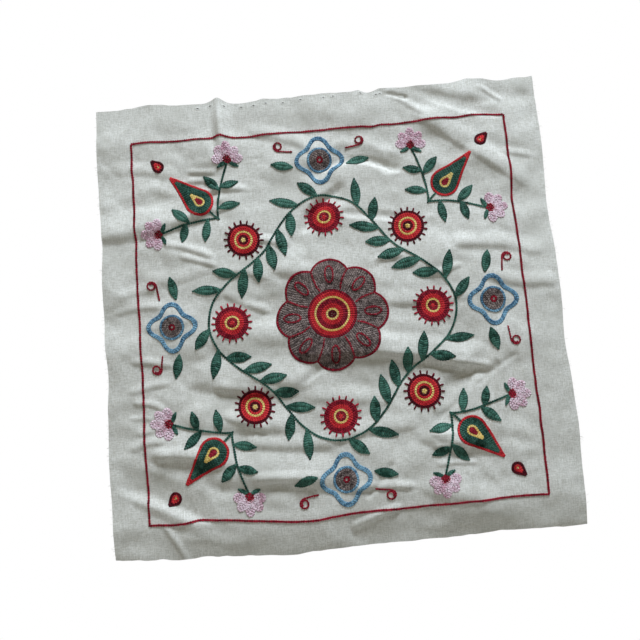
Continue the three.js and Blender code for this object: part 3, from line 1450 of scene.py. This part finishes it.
@dataclass
class Medallion:
    """The lobed centre piece, in taupe with a crimson outline and a banded core."""

    radius: float = 60.0
    lobes: int = 8
    scallop: float = 9.0
    roundness: float = 0.8
    core: float = 26.3
    over: float = 0.6

    def outline(self, inset: float) -> np.ndarray:
        """Return the outline at an inset: lobed outside, and round where it meets the core."""
        angle = around(176)
        lobe = np.abs(np.cos(self.lobes * angle / 2)) ** self.roundness
        left = 1.0 - inset / (self.radius - self.core)
        radius = self.radius - inset - self.scallop * (1.0 - lobe) * left
        return MIDDLE.put(polar(radius, angle))

    def rows(self) -> list[Row]:
        """Return the rows of the medallion."""
        deep = int((self.radius - self.core) / ROW)
        made = nested(self.outline, [Thread.CRIMSON] + [Thread.TAUPE] * (deep - 1))
        made += rings(MIDDLE, self.core, CORE_BANDS)
        for k in range(self.lobes):
            ray = MIDDLE.facing((k + 0.5) * TAU / self.lobes)
            path = [(self.core + 1.0, 0.0), (self.core + 9.0, 1.6), (self.core + 17.0, 1.0),
                    (self.radius - 9.5, 0.0)]
            made.append(line(Thread.CRIMSON, ray.put(path), lift=self.over))
            drop = MIDDLE.facing(k * TAU / self.lobes).further(self.core + 7.5)
            made.append(line(Thread.CRIMSON, Petal(drop, 18.0, 8.6).outline(0.0), True, lift=self.over))
        return made


@dataclass
class Wreath:
    """An undulating vine with roundels in its bends and leaves on both sides."""

    radius: float = 115.0
    sway: float = 15.0
    nestle: float = 0.62
    bends: int = 4
    leaf_places: int = 9
    leaf_turn: float = 0.82
    clear: float = 26.0
    wide_clear: float = 30.0
    small_turn: float = 0.01

    def vine(self, angle: np.ndarray) -> np.ndarray:
        """Return points of the vine at angles round the middle."""
        return MIDDLE.put(polar(self.radius + self.sway * np.cos(self.bends * angle), angle))

    def roundels(self) -> list[Roundel]:
        """Return the roundels, in turn inside and outside the vine."""
        made = []
        for k in range(2 * self.bends):
            side, bands = ((-1.0, INNER_BANDS), (1.0, OUTER_BANDS))[k % 2]
            ray = MIDDLE.facing(k * math.pi / self.bends)
            made.append(Roundel(ray.further(self.radius + side * self.nestle * self.sway), bands))
        return made

    @staticmethod
    def gap(leaf: Leaf, spots: Sequence[Spot]) -> float:
        """Return how near the middle or the tip of a leaf comes to any of some spots."""
        return min(np.linalg.norm(leaf.tip() - (spot.x, spot.z), axis=1).min() for spot in spots)

    def rows(self) -> list[Row]:
        """Return the rows of the vine, its leaves and its roundels."""
        made = [line(Thread.GREEN, self.vine(around(260)), True, STEM)]
        roundels = self.roundels()
        discs = [roundel.spot for roundel in roundels]
        rosettes = [MIDDLE.facing(k * math.pi / 2).further(SIDE_REACH) for k in range(4)]
        places = 2 * self.bends * self.leaf_places
        for n in range(places):
            at = (n + 0.5) * TAU / places
            here, after = self.vine(np.array([at, at + self.small_turn]))
            ahead = math.atan2(after[1] - here[1], after[0] - here[0])
            side = 1.0 if n % 2 else -1.0
            spot = Spot(float(here[0]), float(here[1]), ahead + side * self.leaf_turn)
            leaf = Leaf(spot, 26.0 + 2.5 * (n % 3), 11.0 + 0.8 * (n % 2))
            if self.gap(leaf, discs) > self.clear and self.gap(leaf, rosettes) > self.wide_clear:
                made += leaf.rows()
        for roundel in roundels:
            made += roundel.rows()
        return made


# Leaves of a corner spray: ahead, aside and turn of the base, then length and width
SPRAY_LEAVES = (
    (10.0, 8.5, 2.2, 24.0, 10.0),
    (22.0, 24.0, 0.05, 24.0, 10.5),
    (24.0, 27.0, 2.1, 21.0, 9.5),
)


@dataclass
class CornerSpray:
    """A spray that points into one corner: an almond between two carnations on curved stems."""

    turn: float
    root: float = 158.0

    def rows(self) -> list[Row]:
        """Return the rows of the spray."""
        spot = MIDDLE.facing(self.turn).further(self.root)
        bands = [Thread.RED] + [Thread.GREEN] * 3 + [Thread.YELLOW] + [Thread.CRIMSON] * 2
        made = Almond(spot.further(14.0), bands, 15.5, 62.0).rows()
        made.append(line(Thread.GREEN, spot.put([(0.0, 0.0), (7.0, 0.4), (14.0, 0.0)]), width=STEM))
        made += Almond(spot.further(83.0), [Thread.MAROON, Thread.RED, Thread.YELLOW], 6.5, 20.0).rows()
        for side in (1.0, -1.0):
            t = np.linspace(0.0, 1.0, 16)
            stem = np.stack([2.0 + 34.0 * t, side * (30.0 * t + 22.0 * t * t)], 1)
            made.append(line(Thread.GREEN, spot.put(stem), width=STEM))
            made += Carnation(spot.further(38.0, side * 55.0, side * 0.75)).rows()
            for ahead, aside, turn, length, width in SPRAY_LEAVES:
                made += Leaf(spot.further(ahead, side * aside, side * turn), length, width).rows()
        return made


@dataclass
class SideRosette:
    """A blue four-lobed line round a taupe disc, with a leaf and a tendril on each side."""

    turn: float
    radius: float = 22.5
    swing: float = 3.6
    lobes: int = 4
    line_gap: float = 2.2
    disc: float = 13.5

    def rows(self) -> list[Row]:
        """Return the rows of the rosette."""
        spot = MIDDLE.facing(self.turn).further(SIDE_REACH)
        angle = around(96)
        made = []
        for inset in (0.0, self.line_gap):
            radius = self.radius - inset + self.swing * np.cos(self.lobes * angle)
            made.append(Row(Thread.BLUE, spot.put(polar(radius, angle)), True))
        made += rings(spot, self.disc, [Thread.BLUE] + [Thread.TAUPE] * 3 + [Thread.CRIMSON])
        for side in (1.0, -1.0):
            made += Leaf(spot.further(-6.0, side * 29.0, side * 1.35), 25.0, 10.5).rows()
            made += Tendril(spot.further(12.0, side * 29.0, side * 1.45), -side).rows()
        return made


@dataclass
class Fringe:
    """Loose ends of weft along the two cut sides."""

    drape: Drape
    material: bpy.types.Material
    count: int = 150
    end_gap: float = 4.0
    inset: float = 1.2
    shortest: float = 1.2
    extra: float = 3.4
    depth: float = 0.6
    bend: float = 0.6
    sag: float = 0.5
    radius: float = 0.13
    seed: int = 9

    def build(self) -> bpy.types.Object:
        """Return the loose ends of both sides as one mesh."""
        random = np.random.default_rng(self.seed)
        share = np.array([0.0, 0.5, 1.0])
        turns = (0.0, TAU / 3, 2 * TAU / 3)
        section = [(0.0, self.radius * math.cos(turn), self.radius * math.sin(turn)) for turn in turns]
        points, faces = [], []
        for side in (-1.0, 1.0):
            edge = side * (self.drape.width / 2 - self.inset)
            for z in -np.sort(random.uniform(self.end_gap, self.drape.height - self.end_gap, self.count)):
                start, _ = self.drape.sample(np.array([[edge, z]]))
                length = self.shortest + self.extra * random.uniform(0.0, 1.0) ** 2
                bend = random.uniform(-self.bend, self.bend, 2)
                depth = self.depth + self.sag * bend[0] * share**2
                spine = start + np.stack([side * length * share, depth, bend[1] * length * share**2], 1)
                faces += [[len(points) + v for v in face] for face in self._tube(side)]
                points += [spot + off for spot in spine for off in section]
        return make_object("loose_ends", np.array(points), [np.array(faces)], self.material)

    @staticmethod
    def _tube(side: float) -> list[tuple[int, int, int]]:
        """Return the triangles of a three-sided thread of three rings, facing out."""
        made = [(0, 2, 1), (6, 7, 8)]
        for k in (0, 3):
            for i in range(3):
                j = (i + 1) % 3
                made += [(k + i, k + j, k + 3 + j), (k + i, k + 3 + j, k + 3 + i)]
        return made if side > 0 else [face[::-1] for face in made]


@dataclass(frozen=True)
class Viewpoint:
    """The camera, at the angle from which the hanging is seen."""

    azimuth: float = 0.165
    elevation: float = -7.971
    roll: float = -4.710
    distance: float = 760.0
    target: Triple = (-13.5, 0.0, -249.8)
    scale: float = 1.05
    frame_pixels: float = 640.0
    sensor: float = 36.0

    def build(self) -> None:
        """Make the camera and give it to the scene."""
        az, el, roll = (math.radians(a) for a in (self.azimuth, self.elevation, self.roll))
        back = Vector((math.sin(az) * math.cos(el), -math.cos(az) * math.cos(el), math.sin(el)))
        right = Vector((0.0, 0.0, 1.0)).cross(back).normalized()
        up = back.cross(right)
        turned_right = right * math.cos(roll) + up * math.sin(roll)
        turned_up = up * math.cos(roll) - right * math.sin(roll)
        data = bpy.data.cameras.new("camera")
        data.sensor_width = self.sensor
        data.lens = self.sensor * self.distance / self.scale / self.frame_pixels
        made = bpy.data.objects.new("camera", data)
        made.matrix_world = Matrix((turned_right, turned_up, back)).transposed().to_4x4()
        made.location = (Vector(self.target) + back * self.distance) * MM
        bpy.context.scene.collection.objects.link(made)
        bpy.context.scene.camera = made


@dataclass(frozen=True)
class Lamp:
    """A round area light that looks at the middle of the cloth; places and sizes are in metres."""

    name: str
    place: Triple
    size: float
    power: float
    colour: Colour
    spread: float = 180.0
    aim: Triple = (0.0, 0.0, -0.24)

    def build(self) -> None:
        """Add the light to the scene."""
        data = bpy.data.lights.new(self.name, "AREA")
        data.shape = "DISK"
        data.size = self.size
        data.energy = self.power
        data.color = self.colour
        data.spread = math.radians(self.spread)
        lamp = bpy.data.objects.new(self.name, data)
        lamp.location = self.place
        ahead = Vector(self.aim) - Vector(self.place)
        lamp.rotation_euler = ahead.to_track_quat("-Z", "Y").to_euler()
        bpy.context.scene.collection.objects.link(lamp)


# A soft light from above, a weak one from the left, and a narrow one for the back of the cloth
LAMPS = (
    Lamp("key", (0.62, -1.1, 2.3), 0.7, 124.0, (0.81, 0.89, 1.0)),
    Lamp("fill", (-1.6, -1.6, 0.2), 1.4, 4.0, (1.0, 0.92, 0.80)),
    Lamp("rear", (-0.8, 1.2, 1.3), 0.7, 2.8, (1.0, 0.94, 0.84), 50.0),
)


@dataclass(frozen=True)
class Studio:
    """The lamps, a pale floor far below the hem and a surround that the camera sees as white."""

    ambient: float = 0.09
    ambient_colour: Colour = (1.0, 0.88, 0.52)
    floor_colour: Colour = (0.86, 0.86, 0.85)
    floor_drop: float = 1.6
    floor_half: float = 2.4

    def build(self) -> None:
        """Make the lights, the surround and the floor."""
        for lamp in LAMPS:
            lamp.build()
        world = bpy.data.worlds.new("surround")
        bpy.context.scene.world = world
        tree = NodeTree(world)
        seen = tree.node("ShaderNodeLightPath", out="Is Camera Ray")
        warm = {"Color": (*self.ambient_colour, 1.0), "Strength": self.ambient}
        glow = tree.node("ShaderNodeBackground", {}, warm)
        white = tree.node("ShaderNodeBackground", {}, {"Color": (1.0, 1.0, 1.0, 1.0), "Strength": 1.0})
        both = tree.node("ShaderNodeMixShader", {}, {0: seen, 1: glow, 2: white})
        tree.node("ShaderNodeOutputWorld", {}, {"Surface": both})
        half = self.floor_half / MM
        z = -self.floor_drop / MM
        corners = np.array([(-half, -half, z), (half, -half, z), (half, half, z), (-half, half, z)])
        paint = bpy.data.materials.new("pale_floor")
        NodeTree(paint).surface({"Base Color": (*self.floor_colour, 1.0), "Roughness": 0.8})
        floor = make_object("floor", corners, [np.array([[0, 1, 2, 3]])], paint)
        bpy.context.scene.view_settings.view_transform = "Standard"


def main() -> None:
    """Build the hanging and its studio."""
    logging.basicConfig(level=logging.INFO, format="%(name)s: %(message)s")
    Viewpoint().build()
    drape = Drape()
    parts = {"border": BorderLine().rows(), "medallion": Medallion().rows(), "wreath": Wreath().rows()}
    quarters = [k * math.pi / 2 for k in range(4)]
    parts["corners"] = [row for turn in quarters for row in CornerSpray(turn + math.pi / 4).rows()]
    parts["sides"] = [row for turn in quarters for row in SideRosette(turn).rows()]
    stitcher = Stitcher(drape)
    spots = np.concatenate([row.stations(stitcher.pitch) for rows in parts.values() for row in rows])
    drape.settle(Settling(), spots, stitcher.pitch * ROW)
    cotton = CottonFinish().material()
    panel = Panel(drape, cotton).build()
    loose = Fringe(drape, cotton).build()
    for piece in (panel, loose):
        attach(piece, "root")
    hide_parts("cloth")
    sewn = [loose]
    for name, rows in parts.items():
        sewn += stitcher.work(name, rows)
    drape.width * MM
    Studio().build()


if __name__ == "__main__":
    main()
